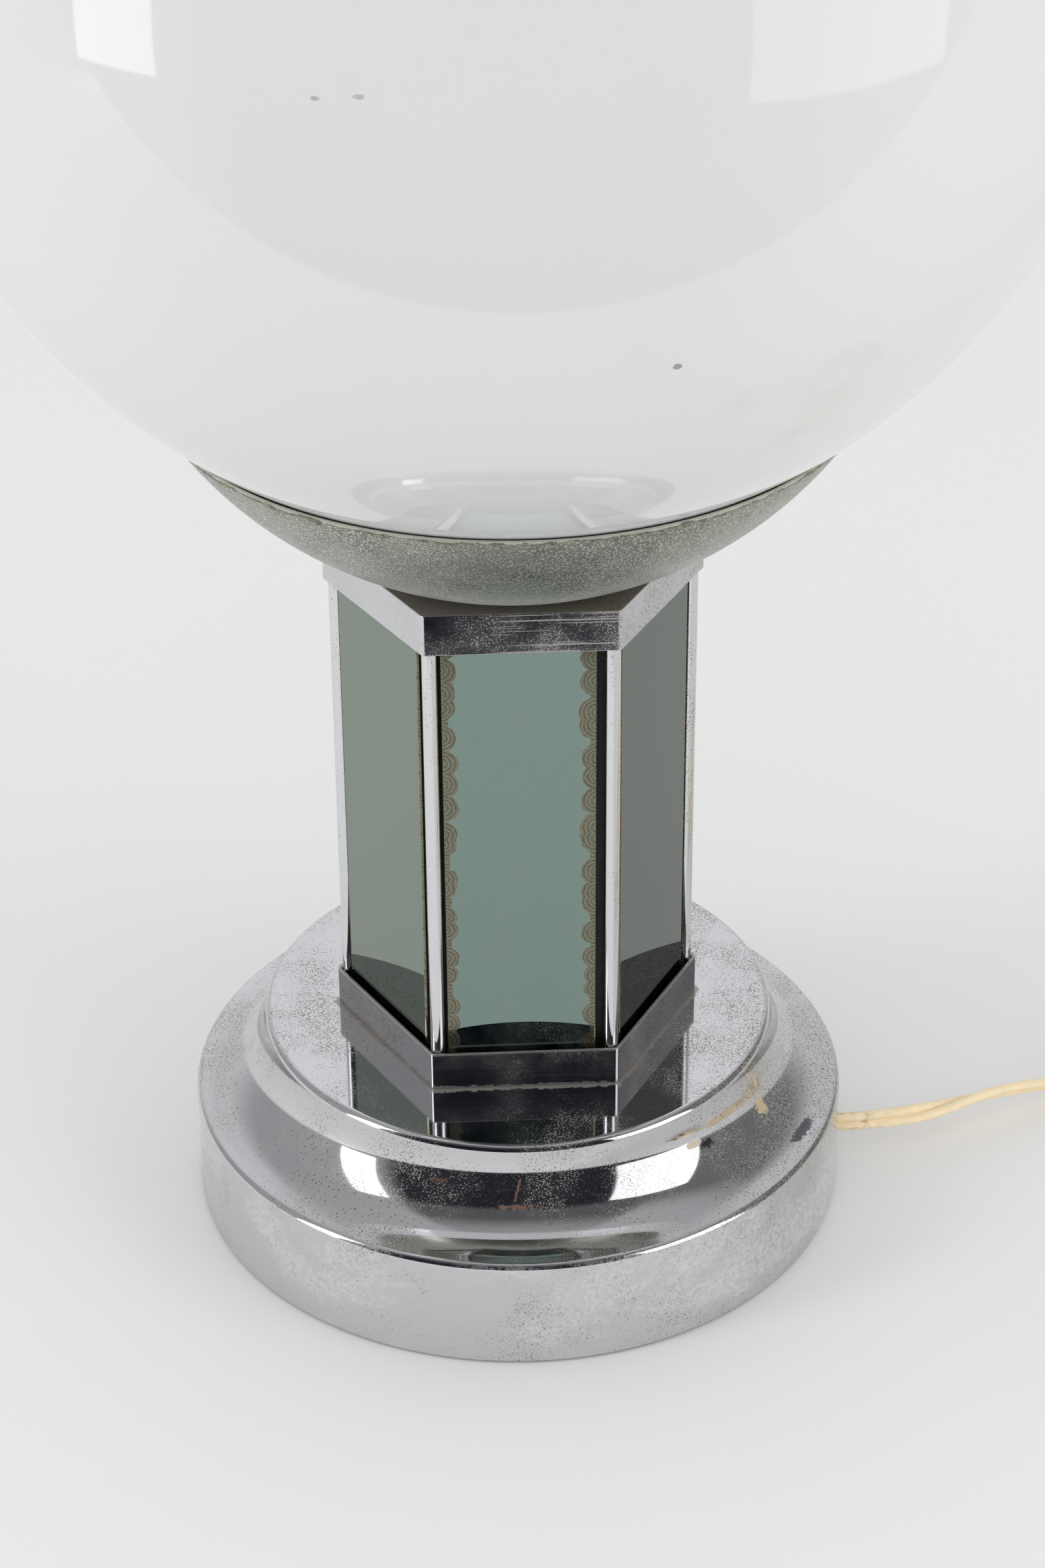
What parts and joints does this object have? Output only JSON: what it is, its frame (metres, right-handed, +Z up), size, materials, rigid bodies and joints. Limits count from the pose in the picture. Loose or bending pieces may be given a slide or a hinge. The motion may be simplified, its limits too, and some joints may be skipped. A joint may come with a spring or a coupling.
{
  "type": "glass globe table lamp",
  "caption": "Table lamp with an opal glass globe in a spun dish on a hexagonal mirrored column and a stepped round base, with its cord, switch and plug.",
  "frame": {"origin": "centre of the underside of the base, on the surface that the lamp stands on", "axes": "+Z up along the lamp's axis, -Y the front face of the column, +X the side that the cord leaves on"},
  "size_m": [0.4461, 0.2998, 0.5164],
  "materials": {
    "base_chrome": "chromed steel, hazy and pitted",
    "column_chrome": "chromed steel, pitted and scratched",
    "rod_chrome": "chromed steel rod",
    "dish_chrome": "dull speckled chrome with verdigris at the rim",
    "felt": "green wool felt",
    "plate_paint": "black lacquered steel",
    "cast_iron": "as cast",
    "zinc_steel": "zinc plated",
    "bush_plastic": "black moulded nylon",
    "core_paint": "matt black",
    "mirror_glass": "grey-green back-silvered glass, worn at its edges",
    "opal_glass": "gloss opal",
    "holder_plastic": "black phenolic",
    "porcelain": "white glaze",
    "brass": "plain",
    "bulb_insulator": "black vitrite",
    "bulb_cap_metal": "rolled thread",
    "bulb_glass": "frosted",
    "core_insulation": "plain",
    "cord_pvc": "ivory twin flat flex",
    "ivory_plastic": "ivory moulding",
    "rocker_plastic": "ivory moulding",
    "pin_metal": "nickel plated"
  },
  "bodies": {
    "lamp": {"ballast": "cast_iron", "base_plate": "plate_paint", "base_screws": "zinc_steel", "base_shell": "base_chrome", "base_spacer": "zinc_steel", "column_cap": "column_chrome", "column_core": "core_paint", "column_tray": "column_chrome", "cord_bush": "bush_plastic", "cord_clamp": "bush_plastic", "cord_coil": "cord_pvc", "corner_rod_1": "rod_chrome", "corner_rod_2": "rod_chrome", "corner_rod_3": "rod_chrome", "corner_rod_4": "rod_chrome", "corner_rod_5": "rod_chrome", "corner_rod_6": "rod_chrome", "dish": "dish_chrome", "dish_nut": "zinc_steel", "dish_washer": "zinc_steel", "felt_pad": "felt", "glass_panel_1": "mirror_glass", "glass_panel_2": "mirror_glass", "glass_panel_3": "mirror_glass", "glass_panel_4": "mirror_glass", "glass_panel_5": "mirror_glass", "glass_panel_6": "mirror_glass", "inner_core_live": "core_insulation", "inner_core_neutral": "core_insulation", "lampholder_cap": "holder_plastic", "lampholder_contact": "brass", "lampholder_insert": "porcelain", "lampholder_skirt": "holder_plastic", "lampholder_terminals": "brass", "lampholder_thread": "brass", "lower_nut": "zinc_steel", "lower_washer": "zinc_steel", "plug_body": "ivory_plastic", "plug_pins": "pin_metal", "plug_sleeves": "bush_plastic", "stem_tube": "zinc_steel", "supply_cord": "cord_pvc", "switch_base": "ivory_plastic", "switch_cover": "ivory_plastic", "switch_screws": "zinc_steel", "switch_terminals": "brass"},
    "globe": {"globe": "opal_glass"},
    "bulb": {"bulb_cap": "bulb_cap_metal", "bulb_contact": "brass", "bulb_glass": "bulb_glass", "bulb_insulator": "bulb_insulator"},
    "rocker": {"switch_rocker": "rocker_plastic"}
  },
  "joints": [
    {"name": "globe_lift", "type": "slide", "parent": "lamp", "child": "globe", "axis": [0, 0, 1], "range_m": [0, 0.16]},
    {"name": "bulb_turn", "type": "hinge", "parent": "lamp", "child": "bulb", "pos_m": [0, 0, 0.28], "axis": [0, 0, 1], "range_deg": [0, 1080]},
    {"name": "switch_rock", "type": "hinge", "parent": "lamp", "child": "rocker", "pos_m": [0.211, 0.02, 0.011], "axis": [0, -1, 0], "range_deg": [0, 16]}
  ]
}
